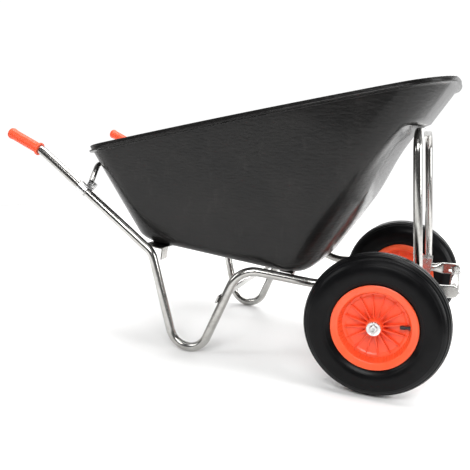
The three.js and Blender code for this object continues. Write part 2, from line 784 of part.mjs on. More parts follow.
function buildWheels() {
  addPair("tyre", ontoRightWheel(tyreShape()), tyreRubber);
  addPair("rim", ontoRightWheel(rimShape()), orangePlastic);
  addPair("inner_tube", ontoRightWheel(innerTubeShape()), tubeRubber);
  addPair("bush_outer", ontoRightWheel(turned(bushProfile(), 16)), blackPlastic);
  const inboard = bushProfile().map(([radius, y]) => [radius, -y]);
  addPair("bush_inner", ontoRightWheel(turned(inboard, 16)), blackPlastic);
  const cap = cut(valveBar(5, 67, 79), valveBar(4.3, 74, 82));
  addPair("valve_cap", ontoRightWheel(cap), blackPlastic);
}

// Washer and split pin that keep a wheel on the axle
function buildWheelRetainers() {
  const washer = turned([[10.4, 44.6], [19, 44.6], [19, 47.2], [10.4, 47.2]], 16);
  addPair("axle_washer", ontoRightWheel(washer), zincPlate);
  const pin = bar(splitPinRadius, 32, [0, splitPinY, axleZ - 16], [0, 0, 1], 8);
  addPair("split_pin", pin, zincPlate);
}

// ----------------------------------------------------------------------------- grips

function buildGrips() {
  const end = new THREE.Vector3(...handleEnd.slice(0, 3));
  const next = new THREE.Vector3(...frameCorners[1].slice(0, 3));
  const along = next.clone().sub(end).normalize();
  const sides = 12;
  const bore = (frameTube + gap) / Math.cos(Math.PI / sides);
  const profile = [
    [0, -10], [9, -9.2], [15.5, -5.5], [18.2, 0], [17.6, 6], [16.8, 14], [16.8, 104], [21, 108],
    [21.5, 111], [21, 114], [bore, 114], [bore, -1], [0, -1],
  ].map(([radius, z]) => new THREE.Vector2(radius, z));
  const grip = new THREE.LatheGeometry(profile, sides).rotateX(Math.PI / 2);
  addPair("grip", placed(grip, end.toArray(), along.toArray()), orangePlastic);
}

buildTray();
buildFrameTubes();
buildNoseBar();
buildCrossAngles();
buildLegStrap();
buildTrayBolts();
buildHoop();
buildHoopCradles();
buildClamps();
buildBrace();
buildHangers();
buildAxle();
buildWheels();
buildWheelRetainers();
buildGrips();

export default barrow;
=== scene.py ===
import math

import bmesh
import bpy
from mathutils import Matrix, Vector


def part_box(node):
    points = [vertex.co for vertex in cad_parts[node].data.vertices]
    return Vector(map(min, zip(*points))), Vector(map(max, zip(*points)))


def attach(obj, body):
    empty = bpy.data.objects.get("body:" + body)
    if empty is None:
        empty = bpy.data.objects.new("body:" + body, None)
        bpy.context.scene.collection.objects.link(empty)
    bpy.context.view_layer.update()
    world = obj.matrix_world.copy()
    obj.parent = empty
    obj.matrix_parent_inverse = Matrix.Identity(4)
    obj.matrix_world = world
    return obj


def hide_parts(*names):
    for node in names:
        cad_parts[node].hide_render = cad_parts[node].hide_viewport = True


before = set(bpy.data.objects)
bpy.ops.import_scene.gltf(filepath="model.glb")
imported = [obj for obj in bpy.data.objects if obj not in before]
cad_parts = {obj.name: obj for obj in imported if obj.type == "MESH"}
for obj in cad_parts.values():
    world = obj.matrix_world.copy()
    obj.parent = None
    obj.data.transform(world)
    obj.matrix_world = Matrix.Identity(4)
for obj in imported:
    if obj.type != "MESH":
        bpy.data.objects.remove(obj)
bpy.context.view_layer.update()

# Lengths are metres. Pieces are laid out from a point on the ground under the axle,
# with the nose towards +X and the right hand side towards -Y.
axleX = sum(corner.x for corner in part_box("axle")) / 2
home = Vector((axleX, 0, 0))
wheelCentre = {"right": Vector((axleX, -0.338, 0.2)), "left": Vector((axleX, 0.338, 0.2))}


# Shader sums: a socket that can be added, multiplied and so on
class Value:
    def __init__(self, finish, socket):
        self.finish = finish
        self.socket = socket

    def sum(self, operation, other=0.0, swapped=False):
        pair = (other, self) if swapped else (self, other)
        return self.finish.add("ShaderNodeMath", {"operation": operation}, {0: pair[0], 1: pair[1]})

    def __add__(self, other):
        return self.sum("ADD", other)

    def __mul__(self, other):
        return self.sum("MULTIPLY", other)

    def __rsub__(self, other):
        return self.sum("SUBTRACT", other, True)

    __radd__ = __add__
    __rmul__ = __mul__


# A material with its own noises, colour mixes and bumps, all read from Object coordinates
class Finish:
    def __init__(self, name, **fixed):
        self.material = bpy.data.materials.new(name)
        self.material.use_nodes = True
        self.tree = self.material.node_tree
        self.shader = self.tree.nodes["Principled BSDF"]
        self.place = self.add("ShaderNodeTexCoord", {}, {}, "Object")
        for socket, value in fixed.items():
            self.shader.inputs[socket].default_value = value

    def add(self, kind, settings, inputs, output=0):
        node = self.tree.nodes.new(kind)
        for setting, value in settings.items():
            if setting == "stops":
                self.setStops(node.color_ramp, value)
            else:
                setattr(node, setting, value)
        for socket, value in inputs.items():
            self.feed(node.inputs[socket], value)
        return Value(self, node.outputs[output])

    def setStops(self, ramp, stops):
        while len(ramp.elements) < len(stops):
            ramp.elements.new(0.5)
        for element, (position, colour) in zip(ramp.elements, stops):
            element.position = position
            element.color = (*colour, 1) if len(colour) == 3 else colour

    def feed(self, socket, value):
        if isinstance(value, Value):
            self.tree.links.new(value.socket, socket)
        else:
            socket.default_value = value

    def set(self, **inputs):
        for socket, value in inputs.items():
            self.feed(self.shader.inputs[socket.replace("_", " ")], value)
        return self.material

    def at(self, centre=(0, 0, 0), scale=(1, 1, 1)):
        settings = {"vector_type": "POINT"}
        location = tuple(-c * s for c, s in zip(centre, scale))
        inputs = {"Vector": self.place, "Scale": scale, "Location": location}
        return self.add("ShaderNodeMapping", settings, inputs)

    def noise(self, scale, detail=3.0, rough=0.5, vector=None):
        inputs = {"Vector": vector or self.place, "Scale": scale, "Detail": detail, "Roughness": rough}
        return self.add("ShaderNodeTexNoise", {}, inputs)

    def ramp(self, value, low, high, start=0.0, end=1.0):
        inputs = {"Value": value, "From Min": low, "From Max": high, "To Min": start, "To Max": end}
        return self.add("ShaderNodeMapRange", {"clamp": True}, inputs)

    def mix(self, share, first, second):
        node = self.tree.nodes.new("ShaderNodeMix")
        node.data_type = "RGBA"
        for socket, value in ((0, share), (6, first), (7, second)):
            self.feed(node.inputs[socket], value)
        return Value(self, node.outputs[2])

    def bump(self, height, distance, strength=1.0, below=None):
        inputs = {"Height": height, "Distance": distance, "Strength": strength}
        if below:
            inputs["Normal"] = below
        return self.add("ShaderNodeBump", {}, inputs)


def rgb(red, green, blue):
    return (red, green, blue, 1)


# ---- finishes

def makeTrayPlastic():
    look = {"body": rgb(0.0062, 0.0060, 0.0060), "worn": rgb(0.0110, 0.0103, 0.0100), "rough": 0.33}
    finish = Finish("moulded tray black", Metallic=0.0)
    for socket, value in (("Specular IOR Level", 0.19), ("Coat Weight", 0.5), ("Coat Roughness", 0.12),
                          ("Coat IOR", 1.28)):
        finish.shader.inputs[socket].default_value = value
    cloud = finish.noise(9, 3)
    wave = finish.noise(95, 2, 0.45, finish.at(scale=(0.55, 0.55, 1.6)))
    grain = finish.noise(720, 2)
    scuff = finish.ramp(finish.noise(26, 4, 0.7, finish.at(scale=(1, 1, 0.25))), 0.56, 0.74)
    colour = finish.mix(finish.ramp(cloud, 0.35, 0.7), look["body"], look["worn"])
    colour = finish.mix(scuff * 0.30, colour, rgb(0.034, 0.032, 0.030))
    rough = look["rough"] + 0.12 * cloud + 0.1 * scuff
    normal = finish.bump(wave, 0.0021, 0.65)
    normal = finish.bump(grain, 0.00022, 0.6, normal)
    return finish.set(Base_Color=colour, Roughness=rough, Normal=normal)


def makeGalvanised(name, base, dull, rough):
    finish = Finish(name, Metallic=1.0)
    cells = {"Vector": finish.place, "Scale": 130.0, "Randomness": 1.0}
    spangle = finish.add("ShaderNodeTexVoronoi", {}, cells, "Color")
    grey = finish.add("ShaderNodeSeparateColor", {}, {"Color": spangle}, "Red")
    cloud = finish.noise(14, 4, 0.6)
    streak = finish.noise(60, 3, 0.6)
    share = finish.ramp(0.7 * cloud + 0.22 * streak + 0.08 * grey, 0.34, 0.62)
    colour = finish.mix(share, dull, base)
    roughness = rough + 0.08 * (1 - share) + 0.02 * grey
    normal = finish.bump(streak, 0.0002, 0.15)
    return finish.set(Base_Color=colour, Roughness=roughness, Normal=normal)


def makeZinc():
    finish = Finish("bright zinc plate", Metallic=1.0)
    cloud = finish.noise(45, 4, 0.6)
    share = finish.ramp(cloud, 0.35, 0.7)
    colour = finish.mix(share, rgb(0.56, 0.56, 0.555), rgb(0.80, 0.80, 0.80))
    normal = finish.bump(finish.noise(260, 3), 0.0002, 0.3)
    return finish.set(Base_Color=colour, Roughness=0.30 - 0.08 * share, Normal=normal)


def makeOrange(name, body, deep, rough, dusty):
    finish = Finish(name, Metallic=0.0)
    cloud = finish.noise(22, 3)
    colour = finish.mix(finish.ramp(cloud, 0.3, 0.7), deep, body)
    dust = finish.ramp(finish.noise(55, 5, 0.7), 0.60, 0.78) * dusty
    colour = finish.mix(dust, colour, rgb(0.86, 0.34, 0.24))
    normal = finish.bump(finish.noise(430, 2), 0.00018, 0.4)
    return finish.set(Base_Color=colour, Roughness=rough + 0.12 * cloud, Normal=normal)


def makeTyreRubber():
    finish = Finish("tyre rubber", Metallic=0.0)
    finish.shader.inputs["Specular IOR Level"].default_value = 0.12
    cloud = finish.noise(18, 4, 0.6)
    deep, grey = rgb(0.0025, 0.0025, 0.0028), rgb(0.0052, 0.0052, 0.0058)
    colour = finish.mix(finish.ramp(cloud, 0.35, 0.7), deep, grey)
    chalk = finish.ramp(finish.noise(120, 4, 0.7), 0.66, 0.8) * 0.25
    colour = finish.mix(chalk, colour, rgb(0.025, 0.025, 0.025))
    normal = finish.bump(finish.noise(380, 3), 0.0003, 0.35)
    return finish.set(Base_Color=colour, Roughness=0.24 + 0.12 * cloud, Normal=normal)


def makeBlackPlastic():
    finish = Finish("small black mouldings", Metallic=0.0)
    cloud = finish.noise(60, 3)
    colour = finish.mix(cloud, rgb(0.010, 0.010, 0.011), rgb(0.024, 0.024, 0.025))
    return finish.set(Base_Color=colour, Roughness=0.32 + 0.2 * cloud, Normal=finish.bump(cloud, 0.0002, 0.3))


finishes = {
    "tray": makeTrayPlastic(),
    "tube": makeGalvanised("bright galvanised tube", rgb(0.53, 0.525, 0.51), rgb(0.38, 0.37, 0.35), 0.17),
    "zinc": makeZinc(),
    "rim": makeOrange("wheel orange", rgb(0.95, 0.115, 0.034), rgb(0.90, 0.092, 0.026), 0.30, 0.2),
    "grip": makeOrange("grip orange", rgb(0.90, 0.090, 0.026), rgb(0.84, 0.076, 0.021), 0.36, 0.05),
    "tyre": makeTyreRubber(),
    "black": makeBlackPlastic(),
}
print("finishes made")


# ---- working with pieces

# Corners are (x, y, z, bend radius); returns the straights and bends between them
def bendsOf(corners):
    at = [Vector(corner[:3]) for corner in corners]
    bends = []
    for i in range(1, len(at) - 1):
        back = (at[i - 1] - at[i]).normalized()
        ahead = (at[i + 1] - at[i]).normalized()
        inner = back.angle(ahead)
        radius = corners[i][3]
        setback = radius / math.tan(inner / 2)
        centre = at[i] + (back + ahead).normalized() * radius / math.sin(inner / 2)
        bends.append({
            "start": at[i] + back * setback,
            "end": at[i] + ahead * setback,
            "centre": centre,
            "axis": ahead.cross(back).normalized(),
            "angle": math.pi - inner,
        })
    return bends


def vertsOf(geometry):
    return [part for part in geometry if isinstance(part, bmesh.types.BMVert)]


def openEdges(geometry):
    return [part for part in geometry if isinstance(part, bmesh.types.BMEdge) and part.is_boundary]


def turnOnto(direction):
    return Vector((0, 0, 1)).rotation_difference(Vector(direction)).to_matrix().to_4x4()


# Draws the open edge of a tube out by a step, with an optional change of girth
def drawOut(bm, edges, step, girth=1.0):
    made = bmesh.ops.extrude_edge_only(bm, edges=edges)["geom"]
    verts = vertsOf(made)
    bmesh.ops.translate(bm, verts=verts, vec=step)
    if girth != 1.0:
        middle = sum((v.co for v in verts), Vector()) / len(verts)
        for v in verts:
            v.co = middle + (v.co - middle) * girth
    return openEdges(made)


# A hollow tube bent round corners, with rolled ends and a bore a little way in
def bentTube(bm, corners, radius, wall=0.002, sides=36, bore=0.05, stepDegrees=5):
    at = [Vector(corner[:3]) for corner in corners]
    along = (at[1] - at[0]).normalized()
    inner = (radius - wall) / radius
    start = Matrix.Translation(at[0] + along * bore) @ turnOnto(along)
    circle = bmesh.ops.create_circle(bm, cap_ends=True, segments=sides, radius=radius * inner, matrix=start)
    edges = list({edge for vert in circle["verts"] for edge in vert.link_edges})
    edges = drawOut(bm, edges, -along * (bore - wall * 0.2))
    edges = drawOut(bm, edges, -along * wall * 0.2, 1 + wall * 0.3 / radius)
    edges = drawOut(bm, edges, Vector(), (1 - wall * 0.25 / radius) / (inner + wall * 0.3 / radius))
    edges = drawOut(bm, edges, along * wall * 0.25, 1 / (1 - wall * 0.25 / radius))
    here = at[0] + along * wall * 0.25
    for bend in bendsOf(corners):
        edges = drawOut(bm, edges, bend["start"] - here)
        steps = max(2, round(math.degrees(bend["angle"]) / stepDegrees))
        spun = bmesh.ops.spin(bm, geom=edges, cent=bend["centre"], axis=bend["axis"], dvec=(0, 0, 0),
                              angle=bend["angle"], steps=steps,
                              use_duplicate=False)
        edges = openEdges(spun["geom_last"])
        here = bend["end"]
    along = (at[-1] - at[-2]).normalized()
    edges = drawOut(bm, edges, at[-1] - along * wall * 0.25 - here)
    edges = drawOut(bm, edges, along * wall * 0.25, 1 - wall * 0.25 / radius)
    edges = drawOut(bm, edges, Vector(), (inner + wall * 0.25 / radius) / (1 - wall * 0.25 / radius))
    edges = drawOut(bm, edges, -along * wall * 0.25, inner / (inner + wall * 0.25 / radius))
    edges = drawOut(bm, edges, -along * bore)
    bmesh.ops.contextual_create(bm, geom=edges)


# Spins a profile of (radius, along) points round an axis; closed on itself if asked
def turnProfile(bm, points, centre, axis=(0, -1, 0), steps=64, closed=True):
    turn = Matrix.Translation(Vector(centre)) @ turnOnto(axis)
    verts = [bm.verts.new(turn @ Vector((radius, 0, along))) for radius, along in points]
    edges = [bm.edges.new(pair) for pair in zip(verts, verts[1:])]
    if closed:
        edges.append(bm.edges.new((verts[-1], verts[0])))
    made = bmesh.ops.spin(bm, geom=verts + edges, cent=centre, axis=turn.to_3x3() @ Vector((0, 0, 1)),
                          dvec=(0, 0, 0), angle=2 * math.pi, steps=steps, use_merge=True, use_duplicate=False)
    bmesh.ops.remove_doubles(bm, verts=list(bm.verts), dist=1e-6)
    return made


# Rounds the corners of a profile: each corner is (radius, along) or (radius, along, rounding)
def rounded(corners, steps=4, closed=False):
    at = [Vector((*corner[:2], 0)) for corner in corners]
    points = []
    for i, here in enumerate(at):
        rounding = corners[i][2] if len(corners[i]) > 2 else 0
        if not rounding or (not closed and i in (0, len(at) - 1)):
            points.append(here.to_2d())
            continue
        back = (at[i - 1] - here).normalized()
        ahead = (at[(i + 1) % len(at)] - here).normalized()
        half = back.angle(ahead) / 2
        centre = here + (back + ahead).normalized() * rounding / math.sin(half)
        start = here + back * rounding / math.tan(half) - centre
        end = here + ahead * rounding / math.tan(half) - centre
        sweep = math.pi - 2 * half
        for k in range(steps + 1):
            share = k / steps
            arm = start * math.sin((1 - share) * sweep) + end * math.sin(share * sweep)
            points.append((centre + arm / math.sin(sweep)).to_2d())
    return [(point.x, point.y) for point in points]


def mirrored(points):
    return [(radius, -along) for radius, along in reversed(points)]


# A block with its edges rounded over
def softBlock(bm, size, matrix, rounding=0.0006, segments=3):
    made = bmesh.ops.create_cube(bm, size=1, matrix=matrix @ Matrix.Diagonal((*size, 1)))
    edges = list({edge for vert in made["verts"] for edge in vert.link_edges})
    bmesh.ops.bevel(bm, geom=edges, offset=rounding, segments=segments, affect="EDGES", profile=0.5,
                    material=-1)


# Makes the mirror image of everything in a bmesh, turned right side out
def flipSide(bm):
    bmesh.ops.scale(bm, vec=(1, -1, 1), verts=list(bm.verts))
    bmesh.ops.reverse_faces(bm, faces=list(bm.faces))


def finishPiece(bm, name, material, slot, body, nodes, smoothAngle=35, normals=True):
    if normals:
        bmesh.ops.recalc_face_normals(bm, faces=list(bm.faces))
    mesh = bpy.data.meshes.new(name)
    bm.to_mesh(mesh)
    bm.free()
    mesh.materials.append(material)
    for polygon in mesh.polygons:
        polygon.use_smooth = True
    mesh.set_sharp_from_angle(angle=math.radians(smoothAngle))
    piece = bpy.data.objects.new(name, mesh)
    bpy.context.scene.collection.objects.link(piece)
    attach(piece, body)
    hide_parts(*nodes)
    return piece


# Makes the right hand piece with make(bm), and its mirror image for the left
def makePair(name, make, material, slot, body, nodes, **options):
    for side in ("right", "left"):
        bm = bmesh.new()
        make(bm)
        bmesh.ops.recalc_face_normals(bm, faces=list(bm.faces))
        if side == "left":
            flipSide(bm)
        finishPiece(bm, f"{name}_{side}", material, slot, body.format(side=side),
                    [node.format(side=side) for node in nodes], normals=False, **options)


def fromAxle(x, y, z, *rest):
    return (x + axleX, y, z, *rest)


# ---- frame tubes

frameTube = {
    "radius": 0.014,
    "corners": [
        (-1.216, -0.311, 0.6295, 0), (-1.098, -0.311, 0.5815, 0.080), (-0.706, -0.300, 0.301, 0.060),
        (-0.622, -0.290, 0.014, 0.064), (-0.529, -0.290, 0.014, 0.064), (-0.424, -0.281, 0.287, 0.075),
        (-0.213, -0.201, 0.254, 0.100), (0.128, -0.172, 0.2766, 0),
    ],
    "flatFrom": -0.010, "flatLength": 0.084, "flatHeight": 0.0186, "flatThickness": 0.0052,
}
tubeCorners = [fromAxle(*corner) for corner in frameTube["corners"]]
noseEnd = Vector(tubeCorners[-1][:3])
noseAlong = (noseEnd - Vector(tubeCorners[-2][:3])).normalized()
noseAcross = Vector((-noseAlong.y, noseAlong.x, 0)).normalized()
noseUp = noseAlong.cross(noseAcross)


def eased(value):
    value = min(1, max(0, value))
    return value * value * (3 - 2 * value)


# Draws the tube on past its last corner and presses it flat and tall, with a rounded tip
def makeFrameTube(bm):
    flat = frameTube
    length = flat["flatLength"]
    end = noseEnd + noseAlong * (flat["flatFrom"] + length)
    bentTube(bm, [*tubeCorners[:-1], (*end, 0)], flat["radius"], bore=0.03)
    first = noseEnd + noseAlong * flat["flatFrom"] - noseAlong * 0.02
    for share in range(1, 26):
        bmesh.ops.bisect_plane(bm, geom=[*bm.verts, *bm.edges, *bm.faces], plane_no=noseAlong,
                               plane_co=first + noseAlong * (length + 0.019) * share / 26)
    for v in bm.verts:
        arm = v.co - noseEnd
        along = arm.dot(noseAlong)
        if v.co.x < axleX or along < flat["flatFrom"]:
            continue
        press = eased((along - flat["flatFrom"]) / 0.032)
        side, rise = arm.dot(noseAcross), arm.dot(noseUp)
        girth = math.hypot(side, rise) / flat["radius"]
        turn = math.atan2(rise, side)
        tip = max(0, (along - 0.058) / 0.016)
        height = flat["flatHeight"] * math.sqrt(max(0.03, 1 - tip * tip)) * girth
        flatSide = max(-1, min(1, 2.2 * math.cos(turn))) * flat["flatThickness"] * girth
        flatRise = (1 if rise > 0 else -1) * abs(math.sin(turn)) ** 0.75 * height
        v.co = (noseEnd + noseAlong * along + noseAcross * (side + (flatSide - side) * press)
                + noseUp * (rise + (flatRise - rise) * press))


makePair("frameTube", makeFrameTube, finishes["tube"], "galvanised_tube", "frame", ["frame_tube_{side}"],
         smoothAngle=50)
print("frame tubes made")


# ---- hoop, brace and nose bar

hoop = {"half": 0.242, "top": (0.0405, 0.719), "foot": (0.0985, 0.252), "bend": 0.060, "radius": 0.0125}
brace = {
    "foot": (-0.9218, -0.3066, 0.5018), "corner": (-0.925, -0.266, 0.553), "bend": 0.030, "radius": 0.0085,
}
noseBar = {"x": 0.188, "z": 0.278, "half": 0.1592, "radius": 0.014}


def makeCrossTube(name, foot, corner, bend, radius, node):
    bm = bmesh.new()
    x, y, z = corner
    corners = [foot, (x, y, z, bend), (x, -y, z, bend), (foot[0], -foot[1], foot[2])]
    bentTube(bm, [fromAxle(*(*point, 0)[:4]) for point in corners], radius)
    finishPiece(bm, name, finishes["tube"], "galvanised_tube", "frame", [node], smoothAngle=50)


makeCrossTube("frontHoop", (hoop["foot"][0], -hoop["half"], hoop["foot"][1]),
              (hoop["top"][0], -hoop["half"], hoop["top"][1]), hoop["bend"], hoop["radius"], "front_hoop")
makeCrossTube("rearBrace", brace["foot"], brace["corner"], brace["bend"], brace["radius"], "rear_brace")

bm = bmesh.new()
bentTube(bm, [fromAxle(noseBar["x"], side * noseBar["half"], noseBar["z"], 0) for side in (-1, 1)],
         noseBar["radius"])
finishPiece(bm, "noseBar", finishes["tube"], "galvanised_tube", "frame", ["nose_bar"], smoothAngle=50)
print("hoop, brace and nose bar made")


# ---- tray

tray = {
    "floor": {
        "rear": -0.796, "front": -0.240, "half": 0.245,
        "rearCorner": 0.080, "frontCorner": 0.080, "bulge": 0.012,
    },
    "rim": {
        "rear": -0.941, "front": 0.106, "half": 0.343,
        "rearCorner": 0.080, "frontCorner": 0.130, "bulge": 0.022,
    },
    "wall": 0.005, "fillet": 0.036, "lipReach": 0.011, "lipDrop": 0.017,
    "lipThickness": 0.005, "bead": 0.0015, "wallRings": 46,
    "cornerSteps": 12, "sideSteps": 20, "noseSteps": 24,
    "grooveDepth": 0.024, "grooveHalf": 0.31,
}


def floorHeight(x):
    return 0.281 + (-0.300 - x) * 0.085


def rimHeight(x):
    share = (x + 0.945) / 1.075
    return 0.606 + 0.284 * share - 0.020 * share * share


def trayOutline(outline, inset):
    rear, front = outline["rear"] + inset, outline["front"] - inset
    half = outline["half"] - inset
    rearCorner, frontCorner = outline["rearCorner"] - inset, outline["frontCorner"] - inset
    points = []

    def arc(x, y, radius, fromDegrees):
        for k in range(tray["cornerSteps"] + 1):
            angle = math.radians(fromDegrees + 90 * k / tray["cornerSteps"])
            points.append((x + radius * math.cos(angle), y + radius * math.sin(angle)))

    def straight(start, end, steps):
        for k in range(1, steps):
            points.append(tuple(a + (b - a) * k / steps for a, b in zip(start, end)))

    noseHalf, rearHalf = half - frontCorner, half - rearCorner
    arc(front - frontCorner, -noseHalf, frontCorner, -90)
    straight((front, -noseHalf), (front, noseHalf), tray["noseSteps"])
    arc(front - frontCorner, noseHalf, frontCorner, 0)
    straight((front - frontCorner, half), (rear + rearCorner, half), tray["sideSteps"])
    arc(rear + rearCorner, rearHalf, rearCorner, 90)
    straight((rear, rearHalf), (rear, -rearHalf), tray["noseSteps"])
    arc(rear + rearCorner, -rearHalf, rearCorner, 180)
    straight((rear + rearCorner, -half), (front - frontCorner, -half), tray["sideSteps"])
    middle = (rear + front) / 2
    bowed = []
    for x, y in points:
        nearness = max(0, (x - middle) / (front - middle))
        bowed.append((x + outline["bulge"] * nearness ** 2 * (1 - (y / half) ** 2), y))
    return bowed


# One level of the tray, from 0 at the floor to 1 at the rim, slid down the wall by drop
def trayRing(share, inset, drop=0.0, lift=0.0):
    ring = []
    for low, high in zip(trayOutline(tray["floor"], inset), trayOutline(tray["rim"], inset)):
        start = Vector((*low, floorHeight(low[0])))
        end = Vector((*high, rimHeight(high[0])))
        point = start.lerp(end, share - drop / (end.z - start.z))
        ring.append(point + Vector((0, 0, lift)))
    return ring


# How far the front wall is drawn in behind the top bar of the hoop
def grooveAt(point):
    topZ = hoop["top"][1]
    if point.x < -0.2:
        return 0.0
    across = 1 - eased((abs(point.y) - tray["grooveHalf"] + 0.085) / 0.075)
    above = 1 - eased((point.z - topZ - 0.008) / 0.016)
    below = eased((point.z - topZ + 0.235) / 0.19)
    return tray["grooveDepth"] * across * above * below


def filletRings(radius, inset, lift):
    rings = []
    for k in range(9):
        angle = math.pi / 16 * k
        share = radius * (1 - math.cos(angle)) / 0.42
        rings.append(trayRing(share, inset + radius * (1 - math.sin(angle)), lift=lift))
    return rings


def wallShares(count):
    return [0.1 + 0.86 * k / count for k in range(count + 1)]


def makeTray():
    wall, reach, bead = tray["wall"], tray["lipReach"], tray["bead"]
    drop, thick = tray["lipDrop"], tray["lipThickness"]
    outside = filletRings(tray["fillet"], 0, 0)
    outside += [trayRing(share, 0) for share in wallShares(tray["wallRings"])]
    rings = list(outside)
    lip = [
        (0.000, drop + 0.0045), (-0.0004, drop + 0.0028), (-0.0018, drop + 0.0012), (-0.004, drop + 0.0004),
        (-reach + 0.0012, drop), (-reach + 0.0003, drop - 0.0006), (-reach, drop - 0.0018),
        (-reach, drop - thick + 0.0016), (-reach + 0.0006, drop - thick + 0.0005),
        (-reach + 0.002, drop - thick),
        (-bead - 0.0035, drop - thick - 0.0004), (-bead - 0.0012, drop - thick - 0.0016),
        (-bead, drop - thick - 0.0035), (-bead, 0.0022), (-bead + 0.0007, 0.0007), (-bead + 0.0022, 0),
        (wall - 0.0018, 0), (wall - 0.0005, 0.0006), (wall, 0.002),
    ]
    rings += [trayRing(1, inset, drop=fall) for inset, fall in lip]
    inside = [trayRing(share, wall) for share in reversed(wallShares(tray["wallRings"]))]
    inside += list(reversed(filletRings(tray["fillet"] - wall, wall, wall)))
    rings += inside
    first, last = len(outside), len(rings) - len(inside)
    bm = bmesh.new()
    order = bm.verts.layers.int.new("order")
    count = len(rings[0])
    circle = bmesh.ops.create_circle(bm, cap_ends=True, segments=count, radius=0.1)
    for i, vert in enumerate(circle["verts"]):
        vert[order] = i
    edges = list({edge for vert in circle["verts"] for edge in vert.link_edges})
    verts = circle["verts"]
    for level, ring in enumerate(rings):
        if level:
            made = bmesh.ops.extrude_edge_only(bm, edges=edges)["geom"]
            verts, edges = vertsOf(made), openEdges(made)
        for vert in verts:
            point = ring[vert[order]]
            if level < first or level >= last:
                point = point - Vector((grooveAt(point), 0, 0))
            vert.co = point + home
    bmesh.ops.contextual_create(bm, geom=edges)
    flats = [face for face in bm.faces if len(face.verts) > 4]
    bmesh.ops.inset_individual(bm, faces=flats, thickness=0.02)
    bmesh.ops.triangulate(bm, faces=[face for face in bm.faces if len(face.verts) > 4])
    return finishPiece(bm, "tray", finishes["tray"], "tray_plastic", "frame", ["tray"], smoothAngle=60)


makeTray()
print("tray made")


# ---- wheels

tyre = {
    "radius": 0.200, "halfWidth": 0.050, "middle": 0.153, "power": 2.25,
    "grooves": (0.0, 0.012, 0.024, 0.034), "grooveDepth": 0.0022,
    "ridges": ((0.176, 0.0006), (0.131, 0.0008)), "steps": 160,
}


# Half of the tyre's section, from the bead round the sidewall to the crown
def tyreHalf():
    points = [(0.1028, 0.0225), (0.1028, 0.0300), (0.1085, 0.0330)]
    rise = tyre["radius"] - tyre["middle"]
    for k in range(0, 91):
        angle = math.radians(-50 + 140 * k / 90)
        width = abs(math.cos(angle)) ** (2 / tyre["power"]) * tyre["halfWidth"]
        height = abs(math.sin(angle)) ** (2 / tyre["power"]) * rise
        radius = tyre["middle"] + math.copysign(height, angle)
        dip = 0.0
        if radius > 0.185:
            near = min(abs(width - groove) for groove in tyre["grooves"])
            dip = tyre["grooveDepth"] * (1 - eased((near - 0.0012) / 0.0016))
        for place, lift in tyre["ridges"]:
            dip -= lift * (1 - eased(abs(radius - place) / 0.0022))
        normal = Vector((math.sin(angle) * rise, math.cos(angle) * tyre["halfWidth"])).normalized()
        points.append((radius - normal.x * dip, min(width - normal.y * dip, tyre["halfWidth"])))
    return points


def makeTyre(bm):
    outer = tyreHalf()
    inner = [(0.193, 0.009), (0.188, 0.024), (0.177, 0.038), (0.158, 0.0435), (0.135, 0.0405), (0.114, 0.027)]
    turnProfile(bm, [*outer, *mirrored(outer)[1:], *mirrored(inner), *inner],
                wheelCentre["right"], steps=tyre["steps"])


makePair("tyre", makeTyre, finishes["tyre"], "tyre", "wheel_{side}", ["tyre_{side}"], smoothAngle=40)

rim = {"ribs": 16, "ribHeight": 0.0075, "ridges": 72, "steps": 288}


def makeRim(bm):
    centre = wheelCentre["right"]
    half = rounded([
        (0.0133, 0.042), (0.0215, 0.042, 0.0018), (0.0245, 0.0055, 0.003), (0.080, 0.0045, 0.002),
        (0.0845, 0.0075, 0.0015), (0.0905, 0.0085, 0.0015), (0.0985, 0.0365, 0.0035), (0.1150, 0.0415, 0.002),
        (0.1180, 0.0400, 0.0010), (0.1180, 0.0372, 0.0008), (0.1018, 0.0313, 0.002), (0.1005, 0.016),
    ])
    turnProfile(bm, [*half, *mirrored(half)], centre, steps=rim["steps"])
    for v in bm.verts:  # fine moulded ridges along the sloping barrel wall
        arm = v.co - centre
        radius, across = math.hypot(arm.x, arm.z), abs(arm.y)
        if 0.0905 < radius < 0.0992 and 0.0075 < across < 0.035:
            turn = math.atan2(arm.z, arm.x) * rim["ridges"] / (2 * math.pi)
            lift = 0.0011 * max(0.0, math.cos(2 * math.pi * turn))
            v.co -= Vector((arm.x, 0, arm.z)) / radius * lift
    for i in range(rim["ribs"]):
        turn = Matrix.Rotation(2 * math.pi * (i + 0.5) / rim["ribs"], 4, "Y")
        for side in (-1, 1):
            place = Matrix.Translation((0.0535, side * (0.004 + rim["ribHeight"] / 2 - 0.001), 0))
            before = set(bm.verts)
            softBlock(bm, (0.065, rim["ribHeight"], 0.0026), place, 0.0008, 2)
            made = [v for v in bm.verts if v not in before]
            for v in made:  # the ribs are tallest at the hub
                if side * v.co.y > 0.006:
                    v.co.y += side * 0.014 * max(0, 1 - (v.co.x - 0.0215) / 0.036) ** 2
            bmesh.ops.transform(bm, matrix=Matrix.Translation(centre) @ turn, verts=made)


makePair("rim", makeRim, finishes["rim"], "rim_plastic", "wheel_{side}", ["rim_{side}"], smoothAngle=32)


